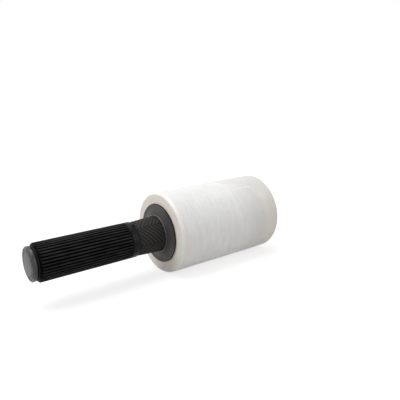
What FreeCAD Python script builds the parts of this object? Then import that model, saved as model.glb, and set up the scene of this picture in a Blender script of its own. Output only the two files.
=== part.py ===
import FreeCAD, Part
import math
import os
import Sketcher

# Stretch wrap roll with a turning handle, in millimetres.
# The roll's axis runs along X, the film towards +X and the grip towards -X. The roll lies on its side.
# Along the axis, each body's own x = 0 is the film's end next to the hub flange.

DOC = FreeCAD.newDocument("stretch_wrap_roll")
SHEET = DOC.addObject("Spreadsheet::Sheet", "Sizes")

DRIVING = {
    "film_width": 125.0,
    "film_radius": 40.3,
    "film_tail_step": 0.35,
    "film_tail_angle": 33.0,
    "film_edge_bevel": 0.7,
    "film_flat_depth": 0.5,
    "turn_groove_width": 1.1,
    "turn_groove_depth": 0.35,
    "turn_groove_spacing": 4.2,
    "turn_groove_inset": 3.0,
    "core_bore_radius": 19.0,
    "core_wall": 4.7,
    "core_overhang": 0.4,
    "core_bevel": 0.5,
    "flange_radius": 28.8,
    "flange_rim": 1.1,
    "flange_height": 4.9,
    "flange_dish_radius": 22.0,
    "lip_radius": 17.9,
    "lip_round": 0.5,
    "plug_length": 52.0,
    "plug_radius": 14.2,
    "fin_thickness": 1.8,
    "fin_fit": 0.05,
    "fin_lead": 4.0,
    "fin_lead_drop": 1.3,
    "fin_start": 3.0,
    "fin_root": 1.0,
    "seat_depth": 3.4,
    "seat_fit": 0.05,
    "spindle_radius": 10.0,
    "spindle_wall": 2.4,
    "spindle_stop": 4.0,
    "neck_radius": 15.6,
    "neck_wall": 2.2,
    "neck_length": 28.6,
    "neck_end_plate": 2.6,
    "neck_rib_height": 0.45,
    "neck_rib_root": 0.2,
    "neck_rib_width": 1.0,
    "neck_rib_pitch": 2.3,
    "neck_rib_angle": 45.0,
    "neck_strip_gap": 0.5,
    "neck_rib_margin": 0.8,
    "end_play": 0.3,
    "grip_length": 90.0,
    "grip_radius": 16.8,
    "grip_bearing_length": 14.0,
    "grip_bearing_clearance": 0.06,
    "grip_relief": 0.6,
    "grip_core_wall": 3.5,
    "grip_sleeve_fit": 0.05,
    "collar_width": 6.8,
    "collar_round": 0.4,
    "collar_groove_width": 0.7,
    "collar_groove_depth": 0.9,
    "slot_width": 3.2,
    "slot_length": 1.7,
    "slot_depth": 1.4,
    "slot_angle": 30.0,
    "rib_radius": 1.12,
    "rib_valley_depth": 0.85,
    "rib_end_bevel": 0.9,
    "washer_radius": 14.7,
    "washer_thickness": 2.2,
    "washer_bevel": 0.3,
    "cap_radius": 15.0,
    "cap_face_radius": 12.2,
    "cap_bevel": 0.9,
    "cap_skirt": 2.3,
    "cap_skirt_round": 0.3,
    "cap_recess_radius": 13.5,
    "cap_recess_width": 0.7,
    "cap_plug_length": 12.0,
    "cap_plug_wall": 1.8,
    "cap_plug_fit": 0.05,
    "cap_plug_lead": 0.6,
}

TURN_GROOVES = 3
FINS = 8
GRIP_RIBS = 38
NECK_STRIPS = 6

# How far a cutting shape reaches past the surface that it cuts.
PAST = 1.0


class Length:
    """A size that carries its value and the expression that binds it to the sheet."""

    def __init__(self, value, text):
        self.value = value
        self.text = text

    def joined(self, sign, other, value):
        return Length(value, f"({self.text} {sign} {length(other).text})")

    def __add__(self, other):
        return self.joined("+", other, self.value + length(other).value)

    def __sub__(self, other):
        return self.joined("-", other, self.value - length(other).value)

    def __mul__(self, other):
        return self.joined("*", other, self.value * length(other).value)

    def __truediv__(self, other):
        return self.joined("/", other, self.value / length(other).value)

    def __neg__(self):
        return Length(-self.value, f"(0 - {self.text})")


def length(item):
    return item if isinstance(item, Length) else Length(float(item), f"{float(item):.6f}")


def fill_sheet():
    for row, (alias, value) in enumerate(DRIVING.items(), start=1):
        SHEET.set(f"A{row}", alias)
        SHEET.set(f"B{row}", str(value))
        SHEET.setAlias(f"B{row}", alias)
    DOC.recompute()
    return {alias: Length(float(SHEET.get(alias)), f"Sizes.{alias}") for alias in DRIVING}


SIZE = fill_sheet()

# Stations along the axis, from the film towards the cap.
CORE_END = -SIZE["core_overhang"]
RIM_FACE = CORE_END - SIZE["flange_rim"]
LIP_FACE = CORE_END - SIZE["flange_height"]
SEAT_FLOOR = LIP_FACE + SIZE["seat_depth"]
NECK_END = SEAT_FLOOR - SIZE["neck_length"]
GRIP_RIGHT = NECK_END - SIZE["end_play"]
GRIP_LEFT = GRIP_RIGHT - SIZE["grip_length"]
COLLAR_LEFT = GRIP_RIGHT - SIZE["collar_width"]
SLEEVE_RIGHT = COLLAR_LEFT - SIZE["collar_groove_width"]
WASHER_RIGHT = GRIP_LEFT - SIZE["end_play"]
WASHER_LEFT = WASHER_RIGHT - SIZE["washer_thickness"]
SKIRT_BACK = WASHER_LEFT - SIZE["cap_recess_width"]
SKIRT_FRONT = SKIRT_BACK - SIZE["cap_skirt"]
CAP_FACE = SKIRT_FRONT - SIZE["cap_bevel"]
FAR_END = SIZE["film_width"] + SIZE["core_overhang"]

# Radii that follow from the pieces they meet.
CORE_RADIUS = SIZE["core_bore_radius"] + SIZE["core_wall"]
SPINDLE_SEAT = SIZE["spindle_radius"] + SIZE["seat_fit"]
NECK_SEAT = SIZE["neck_radius"] + SIZE["seat_fit"]
FIN_RADIUS = SIZE["core_bore_radius"] - SIZE["fin_fit"]
GRIP_BORE = SIZE["spindle_radius"] + SIZE["grip_bearing_clearance"]
GRIP_CORE_RADIUS = GRIP_BORE + SIZE["grip_core_wall"]
SLEEVE_BORE = GRIP_CORE_RADIUS + SIZE["grip_sleeve_fit"]
RIB_VALLEY = SIZE["grip_radius"] - SIZE["rib_valley_depth"]
CAP_PLUG_RADIUS = SIZE["spindle_radius"] - SIZE["spindle_wall"] - SIZE["cap_plug_fit"]

# The part's origin is at the middle of its length and breadth, on the surface that it lies on.
FRAME_X = -(FAR_END + CAP_FACE) / 2
AXIS_HEIGHT = SIZE["film_radius"] - SIZE["film_flat_depth"]


def new_body(label):
    body = DOC.addObject("PartDesign::Body", label)
    body.Label = label
    body.setExpression("Placement.Base.x", FRAME_X.text)
    body.setExpression("Placement.Base.z", AXIS_HEIGHT.text)
    return body


def origin_feature(body, role):
    return next(item for item in body.Origin.OriginFeatures if item.Role == role)


def new_sketch(body, name, plane, offset=None, turn=None):
    sketch = body.newObject("Sketcher::SketchObject", name)
    sketch.AttachmentSupport = [(origin_feature(body, plane), "")]
    sketch.MapMode = "FlatFace"
    if turn is not None:
        sketch.AttachmentOffset = FreeCAD.Placement(
            FreeCAD.Vector(0, 0, 0), FreeCAD.Rotation(FreeCAD.Vector(0, 0, 1), turn.value))
        sketch.setExpression("AttachmentOffset.Rotation.Angle", turn.text)
    if offset is not None:
        sketch.setExpression("AttachmentOffset.Base.z", offset.text)
    return sketch


def bind(sketch, kind, target, size):
    """Adds a constraint and ties it to the sheet, unless it is a plain zero."""
    index = sketch.addConstraint(Sketcher.Constraint(kind, *target, size.value))
    if "Sizes." in size.text:
        sketch.setExpression(f"Constraints[{index}]", size.text)


def fix_point(sketch, edge, end, spot):
    across, up = (length(item) for item in spot)
    bind(sketch, "DistanceX", (-1, 1, edge, end), across)
    bind(sketch, "DistanceY", (-1, 1, edge, end), up)


def closed_outline(sketch, spots):
    """Draws a closed outline of straight edges through spots, each an (across, up) pair of lengths."""
    corners = [FreeCAD.Vector(length(a).value, length(b).value, 0) for a, b in spots]
    edges = []
    for here, there in zip(corners, corners[1:] + corners[:1]):
        edges.append(sketch.addGeometry(Part.LineSegment(here, there), False))
    for edge, following in zip(edges, edges[1:] + edges[:1]):
        sketch.addConstraint(Sketcher.Constraint("Coincident", edge, 2, following, 1))
    for edge, spot in zip(edges, spots):
        fix_point(sketch, edge, 1, spot)
    return edges


def turned(body, name, *outlines):
    """A solid turned about the roll's axis: each outline is a list of (along the axis, radius)."""
    sketch = new_sketch(body, name + "_profile", "XY_Plane")
    for spots in outlines:
        closed_outline(sketch, spots)
    feature = body.newObject("PartDesign::Revolution", name)
    feature.Profile = sketch
    feature.ReferenceAxis = (sketch, ["H_Axis"])
    feature.Angle = 360
    return feature


def turned_cut(body, name, *outlines):
    sketch = new_sketch(body, name + "_profile", "XY_Plane")
    for spots in outlines:
        closed_outline(sketch, spots)
    feature = body.newObject("PartDesign::Groove", name)
    feature.Profile = sketch
    feature.ReferenceAxis = (sketch, ["H_Axis"])
    feature.Angle = 360
    return feature


def repeat_around(body, name, feature, count):
    pattern = body.newObject("PartDesign::PolarPattern", name)
    pattern.Originals = [feature]
    pattern.Axis = (origin_feature(body, "X_Axis"), [""])
    pattern.Angle = 360
    pattern.Occurrences = count
    body.Tip = pattern
    return pattern


def build_film_roll():
    """The wound film: its outline is a spiral's last turn, drawn from two centres, ending in a step."""
    body = new_body("film_roll")
    outer = SIZE["film_radius"]
    step = SIZE["film_tail_step"]
    sketch = new_sketch(body, "turns_outline", "YZ_Plane", turn=SIZE["film_tail_angle"])
    top = math.pi / 2
    centre = FreeCAD.Vector(0, 0, 0)
    low_centre = FreeCAD.Vector(0, -step.value / 2, 0)
    axis = FreeCAD.Vector(0, 0, 1)
    last_turn = Part.Circle(centre, axis, outer.value)
    inner_turn = Part.Circle(low_centre, axis, outer.value - step.value / 2)
    upper = sketch.addGeometry(Part.ArcOfCircle(last_turn, -top, top), False)
    lower = sketch.addGeometry(Part.ArcOfCircle(inner_turn, top, 3 * top), False)
    tail = sketch.addGeometry(Part.LineSegment(
        FreeCAD.Vector(0, outer.value - step.value, 0), FreeCAD.Vector(0, outer.value, 0)), False)
    bore = sketch.addGeometry(Part.Circle(centre, axis, CORE_RADIUS.value), False)
    sketch.addConstraint(Sketcher.Constraint("Coincident", upper, 3, -1, 1))
    sketch.addConstraint(Sketcher.Constraint("Coincident", bore, 3, -1, 1))
    sketch.addConstraint(Sketcher.Constraint("PointOnObject", upper, 1, -2))
    sketch.addConstraint(Sketcher.Constraint("PointOnObject", upper, 2, -2))
    sketch.addConstraint(Sketcher.Constraint("PointOnObject", lower, 3, -2))
    sketch.addConstraint(Sketcher.Constraint("PointOnObject", lower, 1, -2))
    sketch.addConstraint(Sketcher.Constraint("Coincident", lower, 2, upper, 1))
    sketch.addConstraint(Sketcher.Constraint("Coincident", tail, 1, lower, 1))
    sketch.addConstraint(Sketcher.Constraint("Coincident", tail, 2, upper, 2))
    bind(sketch, "Radius", (upper,), outer)
    bind(sketch, "Radius", (lower,), outer - step / 2)
    bind(sketch, "Radius", (bore,), CORE_RADIUS)
    roll = body.newObject("PartDesign::Pad", "turns")
    roll.Profile = sketch
    roll.setExpression("Length", SIZE["film_width"].text)

    width = SIZE["turn_groove_width"]
    depth = SIZE["turn_groove_depth"]
    grooves = []
    for face, inward in ((length(0), 1), (SIZE["film_width"], -1)):
        outside = face - depth * inward
        for number in range(TURN_GROOVES):
            middle = outer - SIZE["turn_groove_inset"] - SIZE["turn_groove_spacing"] * number
            floor = face + depth * inward
            grooves.append([(outside, middle - width), (floor, middle), (outside, middle + width)])
    turned_cut(body, "turn_grooves", *grooves)

    # The slope of each cutting triangle starts one bevel inside the film's edge, both ways.
    bevel = SIZE["film_edge_bevel"]
    corners = []
    for face, inward in ((length(0), 1), (SIZE["film_width"], -1)):
        outside = face - bevel * inward
        corners.append([(outside, outer - bevel * 2),
                        (outside, outer + bevel * 2),
                        (face + bevel * 3 * inward, outer + bevel * 2)])
    turned_cut(body, "edge_bevels", *corners)

    flat_sketch = new_sketch(body, "flat_outline", "YZ_Plane")
    level = -AXIS_HEIGHT
    below = -(outer + PAST)
    closed_outline(flat_sketch, [(-outer, level), (outer, level), (outer, below), (-outer, below)])
    flat = body.newObject("PartDesign::Pocket", "flat_spot")
    flat.Profile = flat_sketch
    flat.Type = "ThroughAll"
    flat.Reversed = True
    return body


def build_cardboard_core():
    body = new_body("cardboard_core")
    inner = SIZE["core_bore_radius"]
    bevel = SIZE["core_bevel"]
    turned(body, "tube", [
        (CORE_END, inner + bevel),
        (CORE_END, CORE_RADIUS),
        (FAR_END, CORE_RADIUS),
        (FAR_END, inner + bevel),
        (FAR_END - bevel, inner),
        (CORE_END + bevel, inner),
    ])
    return body


def build_hub_flange():
    """Dished disc with a lip round the neck's seat, and a finned plug that grips the core's bore."""
    body = new_body("hub_flange")
    rim = SIZE["flange_radius"]
    lip = SIZE["lip_radius"]
    rounding = SIZE["lip_round"]
    plug = SIZE["plug_radius"]
    lead = SIZE["fin_lead"]
    sketch = new_sketch(body, "disc_profile", "XY_Plane")
    spots = [
        (SIZE["plug_length"], SPINDLE_SEAT),
        (SIZE["plug_length"], plug - rounding),
        (SIZE["plug_length"] - rounding, plug),
        (CORE_END, plug),
        (CORE_END, rim - rounding),
        (CORE_END - rounding, rim),
        (RIM_FACE, rim - rounding),
        (LIP_FACE + rounding, lip),
        (LIP_FACE, lip - rounding),
        (LIP_FACE, NECK_SEAT),
        (SEAT_FLOOR, NECK_SEAT),
        (SEAT_FLOOR, SPINDLE_SEAT),
    ]
    rim_to_lip = 6
    dished_edge(sketch, spots, rim_to_lip, SIZE["flange_dish_radius"])
    disc = body.newObject("PartDesign::Revolution", "disc")
    disc.Profile = sketch
    disc.ReferenceAxis = (sketch, ["H_Axis"])
    disc.Angle = 360

    fin_sketch = new_sketch(body, "fin_outline", "YZ_Plane", offset=SIZE["fin_start"])
    half = SIZE["fin_thickness"] / 2
    root = plug - SIZE["fin_root"]
    closed_outline(fin_sketch, [(-half, root), (half, root), (half, FIN_RADIUS), (-half, FIN_RADIUS)])
    fin = body.newObject("PartDesign::Pad", "fin")
    fin.Profile = fin_sketch
    fin.setExpression("Length", (SIZE["plug_length"] - SIZE["fin_start"] - rounding * 2).text)
    repeat_around(body, "fins", fin, FINS)

    tip = SIZE["plug_length"]
    turned_cut(body, "fin_lead_in", [(tip, FIN_RADIUS - SIZE["fin_lead_drop"]), (tip, FIN_RADIUS + PAST),
                                     (tip - lead, FIN_RADIUS + PAST), (tip - lead, FIN_RADIUS)])
    return body


def dished_edge(sketch, spots, curved, radius):
    """A closed outline whose edge number curved is a hollow arc of the given radius."""
    corners = [FreeCAD.Vector(length(a).value, length(b).value, 0) for a, b in spots]
    edges = []
    for number, (here, there) in enumerate(zip(corners, corners[1:] + corners[:1])):
        if number == curved:
            chord = there - here
            middle = (here + there) / 2
            drop = math.sqrt(radius.value ** 2 - (chord.Length / 2) ** 2)
            side = FreeCAD.Vector(chord.y, -chord.x, 0).normalize()
            bulge = middle + side * (drop - radius.value)
            if (bulge - middle).x < 0:
                bulge = middle - (bulge - middle)
            shape = Part.Arc(here, bulge, there)
        else:
            shape = Part.LineSegment(here, there)
        edges.append(sketch.addGeometry(shape, False))
    arc = edges[curved]
    runs_forward = sketch.getPoint(arc, 1).isEqual(corners[curved], 1e-6)
    start, end = (1, 2) if runs_forward else (2, 1)
    before = edges[curved - 1]
    after = edges[(curved + 1) % len(edges)]
    sketch.addConstraint(Sketcher.Constraint("Coincident", before, 2, arc, start))
    sketch.addConstraint(Sketcher.Constraint("Coincident", arc, end, after, 1))
    bind(sketch, "Radius", (arc,), radius)
    for number, edge in enumerate(edges):
        following = (number + 1) % len(edges)
        if curved not in (number, following):
            sketch.addConstraint(Sketcher.Constraint("Coincident", edge, 2, edges[following], 1))
        fix_point(sketch, edge, start if number == curved else 1, spots[number])


def build_spindle():
    """Tube that the grip turns on. The cap closes one end, and the other is held in the hub."""
    body = new_body("spindle")
    outer = SIZE["spindle_radius"]
    inner = outer - SIZE["spindle_wall"]
    end = SIZE["plug_length"] - SIZE["spindle_stop"]
    turned(body, "tube", [(WASHER_LEFT, inner), (WASHER_LEFT, outer), (end, outer), (end, inner)])
    return body


def build_neck_sleeve():
    """A cup over the spindle: a smooth wall with strips of slanted ribs, each strip against the next.

    The ribs are first laid out on a strip at the top, between the radii of their roots and crests.
    """
    size = {alias: float(SHEET.get(alias)) for alias in DRIVING}
    wall = size["neck_radius"]
    root = wall - size["neck_rib_root"]
    crest = wall + size["neck_rib_height"]
    inner = wall - size["neck_wall"]
    start = NECK_END.value
    end = SEAT_FLOOR.value
    face = LIP_FACE.value
    along = FreeCAD.Vector(1, 0, 0)

    def tube(radius, first, last):
        return Part.makeCylinder(radius, last - first, FreeCAD.Vector(first, 0, 0), along)

    cup = tube(wall, start, end).cut(tube(inner, start + size["neck_end_plate"], end))
    cup = cup.cut(tube(SPINDLE_SEAT.value, start - PAST, end + PAST))

    first = start + size["neck_rib_margin"]
    last = face - size["neck_rib_margin"]
    middle = (first + last) / 2
    strip_angle = 360 / NECK_STRIPS
    half_breadth = wall * math.sin(math.radians(strip_angle / 2)) - size["neck_strip_gap"]
    band = tube(crest, first, last).cut(tube(root, first, last))
    corner = FreeCAD.Vector(first, -half_breadth, 0)
    window = Part.makeBox(last - first, 2 * half_breadth, crest + PAST, corner)
    patch = band.common(window)

    reach = (last - first) + 2 * half_breadth
    step = size["neck_rib_pitch"] / math.sin(math.radians(size["neck_rib_angle"]))
    count = int(reach / step / 2) + 1
    bars = []
    for number in range(-count, count + 1):
        bar = Part.makeBox(reach * 2, size["neck_rib_width"], crest + PAST,
                           FreeCAD.Vector(-reach, -size["neck_rib_width"] / 2, 0))
        bar.rotate(FreeCAD.Vector(0, 0, 0), FreeCAD.Vector(0, 0, 1), size["neck_rib_angle"])
        bar.translate(FreeCAD.Vector(middle + number * step, 0, 0))
        bars.append(bar)
    leaning = patch.common(Part.makeCompound(bars))
    opposed = leaning.mirror(FreeCAD.Vector(0, 0, 0), FreeCAD.Vector(0, 1, 0))

    ribs = []
    for strip in range(NECK_STRIPS):
        source = opposed if strip % 2 else leaning
        for rib in source.Solids:
            ribs.append(rib.rotated(FreeCAD.Vector(0, 0, 0), along, strip * strip_angle))
    neck = DOC.addObject("Part::Feature", "neck_sleeve")
    neck.Label = "neck_sleeve"
    neck.Shape = cup.fuse(ribs)
    neck.setExpression("Placement.Base.x", FRAME_X.text)
    neck.setExpression("Placement.Base.z", AXIS_HEIGHT.text)
    return neck


def build_grip_core():
    """Hard inner tube of the grip: two bearing lands, and a smooth collar with a slot in its edge."""
    body = new_body("grip_core")
    bore = GRIP_BORE
    relief = GRIP_BORE + SIZE["grip_relief"]
    land = SIZE["grip_bearing_length"]
    collar = SIZE["grip_radius"]
    rounding = SIZE["collar_round"]
    groove_floor = collar - SIZE["collar_groove_depth"]
    turned(body, "tube", [
        (GRIP_LEFT, bore),
        (GRIP_LEFT, GRIP_CORE_RADIUS),
        (SLEEVE_RIGHT, GRIP_CORE_RADIUS),
        (SLEEVE_RIGHT, groove_floor),
        (COLLAR_LEFT, groove_floor),
        (COLLAR_LEFT, collar - rounding),
        (COLLAR_LEFT + rounding, collar),
        (GRIP_RIGHT - rounding, collar),
        (GRIP_RIGHT, collar - rounding),
        (GRIP_RIGHT, bore),
        (GRIP_RIGHT - land, bore),
        (GRIP_RIGHT - land - SIZE["grip_relief"], relief),
        (GRIP_LEFT + land + SIZE["grip_relief"], relief),
        (GRIP_LEFT + land, bore),
    ])
    sketch = new_sketch(body, "slot_outline", "YZ_Plane", offset=GRIP_RIGHT, turn=SIZE["slot_angle"])
    half = SIZE["slot_width"] / 2
    floor = collar - SIZE["slot_depth"]
    above = collar + PAST
    closed_outline(sketch, [(-half, floor), (half, floor), (half, above), (-half, above)])
    slot = body.newObject("PartDesign::Pocket", "slot")
    slot.Profile = sketch
    slot.setExpression("Length", SIZE["slot_length"].text)
    return body


def build_grip_sleeve():
    """Ribbed outer sleeve: a plain wall with rounded ribs along it, bevelled at both ends."""
    body = new_body("grip_sleeve")
    crest = SIZE["grip_radius"]
    bevel = SIZE["rib_end_bevel"]
    turned(body, "wall", [(GRIP_LEFT, SLEEVE_BORE), (GRIP_LEFT, RIB_VALLEY),
                          (SLEEVE_RIGHT, RIB_VALLEY), (SLEEVE_RIGHT, SLEEVE_BORE)])
    sketch = new_sketch(body, "rib_outline", "YZ_Plane", offset=GRIP_LEFT)
    centre = crest - SIZE["rib_radius"]
    rib_circle = sketch.addGeometry(Part.Circle(
        FreeCAD.Vector(0, centre.value, 0), FreeCAD.Vector(0, 0, 1), SIZE["rib_radius"].value), False)
    fix_point(sketch, rib_circle, 3, (0, centre))
    bind(sketch, "Radius", (rib_circle,), SIZE["rib_radius"])
    rib = body.newObject("PartDesign::Pad", "rib")
    rib.Profile = sketch
    rib.setExpression("Length", (SLEEVE_RIGHT - GRIP_LEFT).text)
    repeat_around(body, "ribs", rib, GRIP_RIBS)
    above = crest + PAST
    bevels = []
    for end, inward in ((GRIP_LEFT, 1), (SLEEVE_RIGHT, -1)):
        outside = end - bevel * inward
        inside = end + bevel * inward
        bevels.append([(outside, crest - bevel), (end, crest - bevel), (inside, crest),
                       (inside, above), (outside, above)])
    turned_cut(body, "end_bevels", *bevels)
    return body


def build_thrust_washer():
    body = new_body("thrust_washer")
    outer = SIZE["washer_radius"]
    bevel = SIZE["washer_bevel"]
    turned(body, "ring", [
        (WASHER_LEFT, SPINDLE_SEAT),
        (WASHER_LEFT, outer - bevel),
        (WASHER_LEFT + bevel, outer),
        (WASHER_RIGHT - bevel, outer),
        (WASHER_RIGHT, outer - bevel),
        (WASHER_RIGHT, SPINDLE_SEAT),
    ])
    return body


def build_end_cap():
    """Cap with a flat face, a bevelled edge and a hollow plug that is pushed into the spindle."""
    body = new_body("end_cap")
    outer = SIZE["cap_radius"]
    rounding = SIZE["cap_skirt_round"]
    plug_end = WASHER_LEFT + SIZE["cap_plug_length"]
    lead = SIZE["cap_plug_lead"]
    hollow = CAP_PLUG_RADIUS - SIZE["cap_plug_wall"]
    turned(body, "cap", [
        (CAP_FACE, 0),
        (CAP_FACE, SIZE["cap_face_radius"]),
        (SKIRT_FRONT, outer - rounding),
        (SKIRT_FRONT + rounding, outer),
        (SKIRT_BACK - rounding, outer),
        (SKIRT_BACK, outer - rounding),
        (SKIRT_BACK, SIZE["cap_recess_radius"]),
        (WASHER_LEFT, SIZE["cap_recess_radius"]),
        (WASHER_LEFT, CAP_PLUG_RADIUS),
        (plug_end - lead, CAP_PLUG_RADIUS),
        (plug_end, CAP_PLUG_RADIUS - lead),
        (plug_end, hollow),
        (WASHER_LEFT, hollow),
        (WASHER_LEFT, 0),
    ])
    return body


def check_document():
    for item in DOC.Objects:
        if "Invalid" in item.State or "Error" in item.State:
            raise RuntimeError(f"{item.Label} failed: {item.State}")


def check_shape(node):
    shape = node.Shape
    if shape.isNull() or not shape.isValid() or len(shape.Solids) != 1:
        raise RuntimeError(f"{node.Label} is not one valid solid")
    return shape


def main():
    nodes = [
        build_film_roll(),
        build_cardboard_core(),
        build_hub_flange(),
        build_spindle(),
        build_neck_sleeve(),
        build_grip_core(),
        build_grip_sleeve(),
        build_thrust_washer(),
        build_end_cap(),
    ]
    DOC.recompute()
    check_document()
    shapes = {node.Label: check_shape(node) for node in nodes}
    os.makedirs("parts", exist_ok=True)
    for label, shape in shapes.items():
        shape.exportStep(f"parts/{label}.step")
        print(f"{label}: {shape.Volume:.1f} mm3")


main()
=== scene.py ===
import bisect
import math

import bmesh
import bpy
from mathutils import Matrix, Vector, noise


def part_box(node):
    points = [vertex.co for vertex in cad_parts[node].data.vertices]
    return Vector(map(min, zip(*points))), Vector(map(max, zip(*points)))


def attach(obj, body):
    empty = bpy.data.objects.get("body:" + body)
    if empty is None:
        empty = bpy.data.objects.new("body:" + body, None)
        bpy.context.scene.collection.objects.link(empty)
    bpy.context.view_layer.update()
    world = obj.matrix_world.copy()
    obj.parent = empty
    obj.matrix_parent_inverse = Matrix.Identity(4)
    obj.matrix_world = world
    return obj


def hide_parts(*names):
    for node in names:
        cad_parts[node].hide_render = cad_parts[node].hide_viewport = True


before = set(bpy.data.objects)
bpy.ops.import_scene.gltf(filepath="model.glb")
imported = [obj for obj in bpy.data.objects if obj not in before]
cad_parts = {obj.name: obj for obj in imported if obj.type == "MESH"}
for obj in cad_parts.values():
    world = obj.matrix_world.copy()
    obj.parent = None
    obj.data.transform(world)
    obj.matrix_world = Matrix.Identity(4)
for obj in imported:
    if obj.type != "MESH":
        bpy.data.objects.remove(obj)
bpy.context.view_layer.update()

# Stretch wrap roll with a turning handle. Lengths are in metres, written in millimetres times MM.
# The roll's axis runs along X at AXIS_HEIGHT, with the film towards +X and the handle towards -X.
# Angles round the axis are in degrees from the top, growing towards -Y, the side that faces the camera.
MM = 0.001
FULL_TURN = 2 * math.pi


def span(node):
    """Where a CAD node starts and ends along the axis, and half its breadth."""
    low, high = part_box(node)
    return low.x, high.x, (high.y - low.y) / 2


AXIS_HEIGHT = sum(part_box("spindle"), Vector()).z / 2
FILM_LEFT, FILM_RIGHT, _ = span("film_roll")
CORE_LEFT, CORE_RIGHT, CORE_RADIUS = span("cardboard_core")
LIP_FACE, PLUG_END, RIM_RADIUS = span("hub_flange")
NECK_LEFT, NECK_RIGHT, _ = span("neck_sleeve")
GRIP_LEFT, GRIP_RIGHT, GRIP_RADIUS = span("grip_core")
_, SLEEVE_RIGHT, _ = span("grip_sleeve")
WASHER_LEFT, WASHER_RIGHT, WASHER_RADIUS = span("thrust_washer")
CAP_FACE, CAP_PLUG_END, CAP_RADIUS = span("end_cap")
_, _, SPINDLE_RADIUS = span("spindle")

# Points closer than MERGE become one, and a measure is taken as reached within TOLERANCE.
MERGE = 0.001 * MM
TOLERANCE = 0.01 * MM

# The gap on each side between pieces that are pressed together.
PRESS_FIT = 0.05 * MM
SPINDLE_HOLE = SPINDLE_RADIUS + PRESS_FIT

# Film.
FILM_RADIUS = 40.3 * MM
FILM_SHEET = 0.16 * MM
FILM_STEP = 0.35 * MM
FILM_DROP = 0.16 * MM
FILM_LEFT_ROUND = 3.2 * MM
FILM_RIGHT_ROUND = 1.2 * MM
TURN_GRAIN = 0.8 * MM
TURN_UNEVENNESS = 0.16 * MM
FILM_STEPS = 180
FILM_END_POINTS = 40
FILM_SIDE_POINTS = 130

# The film's last turn and its tail.
TAIL_ANGLE = 33
TAIL_SINK_ANGLE = 14
TAIL_OVERLAP_ANGLE = 2
TAIL_LIP = 0.06 * MM
TAIL_BEAD = 0.06 * MM
TAIL_BEAD_ANGLE = 1.2
SHEET_LEFT = FILM_LEFT + FILM_LEFT_ROUND * 0.8
SHEET_TUCK = 1.5 * MM
SHEET_POINTS_ALONG = 230
SHEET_POINTS_ROUND = 160

# Where the film's last turn ends on the right, by the angle travelled back from its tail.
LAST_TURN_EDGE = [
    (0, 101 * MM), (5, 99 * MM), (20, 73 * MM), (36, 64 * MM), (60, 78 * MM), (95, 100 * MM),
    (150, 107 * MM), (333, 106 * MM), (351, 104 * MM), (360, 101 * MM),
]

# Ridges round the film. They fade with distance from its left end, most slowly near the top.
RIDGE_PITCH = 2.3 * MM
RIDGE_HEIGHT = 0.19 * MM
RIDGE_REACH = 22 * MM
RIDGE_REACH_MORE = 30 * MM
RIDGE_REACH_ANGLE = -10
FOLD_HEIGHT = 0.05 * MM
FOLD_LENGTH = 1.5 * MM
WAVE_HEIGHT = 0.07 * MM
WAVE_LENGTH = 7 * MM

# The film is wound less thickly behind the top, over its left part.
THIN_DEPTH = 0.55 * MM
THIN_ANGLE = -50
THIN_END = 64 * MM
THIN_FADE = 22 * MM

# Streaks round the film, as grains per metre along the axis and across it, and how deep they are.
FINE_STREAKS = (1500, 90, 90)
MEDIUM_STREAKS = (640, 60, 60)
BROAD_STREAKS = (250, 14, 14)
SHEET_STREAK_DEPTH = 0.25 * MM
UNDER_STREAK_DEPTH = 0.10 * MM

# How far light of each colour travels inside the film, from its side and from its ends.
SIDE_SCATTER = (4.0 * MM, 3.0 * MM, 2.2 * MM)
END_SCATTER = (5.0 * MM, 3.5 * MM, 2.5 * MM)

# Where the film's colour changes and where its painted shade and highlights lie: lengths from its ends,
# heights above the axis, and radii on its ends.
RIDGE_SHADE_LENGTH = 45 * MM
FAR_END_SHADE_LENGTH = 55 * MM
EDGE_HIGHLIGHT_WIDTH = 1.6 * MM
UNDER_SHADE_FROM = 27 * MM
UNDER_SHADE_TO = 36 * MM
TURNS_WARM_RADIUS = 27 * MM
TURNS_PALE_RADIUS = 38 * MM
TURNS_GRAINS = 2600

# Colours of the film.
SHEET_CLEAR = (0.90, 0.887, 0.862)
SHEET_WARM = (0.80, 0.785, 0.757)
UNDER_CLEAR = (0.86, 0.845, 0.82)
UNDER_WARM = (0.76, 0.745, 0.72)
# The next five are painted: shade over the ridges and left edge, shade under the last turn, shade at the
# right end, a highlight on the right edge and one along the tail.
FILM_SHADE = (0.66, 0.65, 0.64)
FILM_UNDER_SHADE = (0.58, 0.575, 0.565)
FILM_FAR_END_SHADE = (0.51, 0.472, 0.425)
FILM_EDGE_HIGHLIGHT = (0.93, 0.90, 0.84)
TAIL_HIGHLIGHT = (0.97, 0.965, 0.95)
TURNS_NEAR_CORE = (0.93, 0.835, 0.75)
TURNS_NEAR_SIDE = (0.87, 0.85, 0.82)
TURNS_LINE = (0.68, 0.60, 0.54)

# Core, with plies that show at its ends and one spiral joint inside.
CORE_BORE = 19.0 * MM
CORE_BEVEL = 0.35 * MM
BOARD_FIBRES = (300, 1600, 1600)
PLY_SPACING = 0.31 * MM
PLY_LINE = 0.12 * MM
SPIRAL_LENGTH = 62 * MM

# Hub.
RIM_FACE = CORE_LEFT - 1.1 * MM
RIM_TAPER = 0.2 * MM
RIM_BAND = 0.6 * MM
DISH_SAG = 1.0 * MM
DISH_STATIONS = (0.15, 0.3, 0.45, 0.6, 0.75, 0.9, 1.0)
LIP_FRONT = LIP_FACE + 1.0 * MM
LIP_RADIUS = 18.5 * MM
LIP_WIDTH = 1.0 * MM
LIP_STEP = 0.8 * MM
LIP_HOLLOW = 1.8 * MM
LIP_SHADOW = 5 * MM
PLUG_RADIUS = 14.2 * MM
FIN_LEFT = FILM_LEFT + 3 * MM
FIN_RIGHT = PLUG_END - MM
FIN_ROOT = PLUG_RADIUS - MM
FIN_TIP = CORE_BORE - PRESS_FIT
FIN_THICKNESS = 1.8 * MM
FIN_TAPER = 1.3 * MM
FIN_COUNT = 8
HUB_STEPS = 160

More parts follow.
